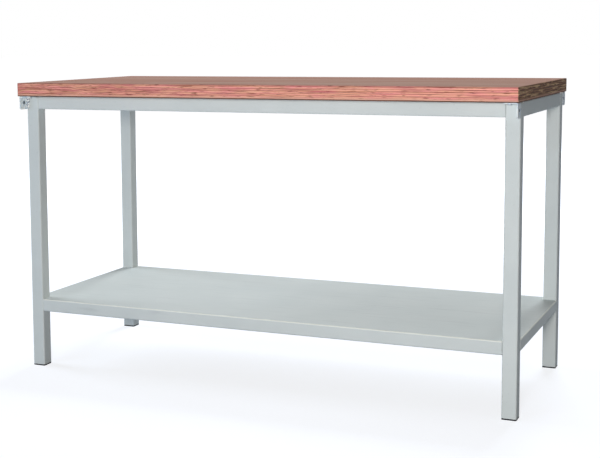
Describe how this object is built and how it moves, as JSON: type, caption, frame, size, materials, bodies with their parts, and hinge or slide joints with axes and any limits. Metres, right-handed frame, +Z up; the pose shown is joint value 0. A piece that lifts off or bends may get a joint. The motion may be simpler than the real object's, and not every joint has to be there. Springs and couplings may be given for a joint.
{
  "type": "workbench",
  "caption": "Free-standing workbench: thick multiplex worktop on a painted steel tube frame with a folded sheet-steel shelf near the floor.",
  "frame": {"origin": "on the floor, under the middle of the worktop", "axes": "+X along the length to the right, +Y to the rear, +Z up; the front faces -Y"},
  "size_m": [1.5, 0.7, 0.875],
  "materials": {
    "beech_multiplex": "oiled, ply edges bare",
    "light_grey_paint": "powder coat, satin",
    "black_plastic": "moulded, matt",
    "zinc_plated_steel": "bright zinc"
  },
  "bodies": {
    "root": {"worktop": "beech_multiplex", "side_rail_left": "light_grey_paint", "side_rail_right": "light_grey_paint", "long_rail_front": "light_grey_paint", "long_rail_rear": "light_grey_paint", "shelf_tray": "light_grey_paint", "shelf_stiffener_left": "light_grey_paint", "shelf_stiffener_right": "light_grey_paint", "leg_front_left": "light_grey_paint", "leg_front_right": "light_grey_paint", "leg_rear_left": "light_grey_paint", "leg_rear_right": "light_grey_paint", "rail_end_plate_front_left": "light_grey_paint", "rail_end_plate_front_right": "light_grey_paint", "rail_end_plate_rear_left": "light_grey_paint", "rail_end_plate_rear_right": "light_grey_paint", "worktop_bracket_front_left": "light_grey_paint", "worktop_bracket_front_right": "light_grey_paint", "worktop_bracket_rear_left": "light_grey_paint", "worktop_bracket_rear_right": "light_grey_paint", "foot_cap_front_left": "black_plastic", "foot_cap_front_right": "black_plastic", "foot_cap_rear_left": "black_plastic", "foot_cap_rear_right": "black_plastic", "rail_bolts": "zinc_plated_steel", "rail_rivet_nuts": "zinc_plated_steel", "shelf_bolts": "zinc_plated_steel", "shelf_rivet_nuts": "zinc_plated_steel", "worktop_screws": "zinc_plated_steel"}
  },
  "joints": []
}
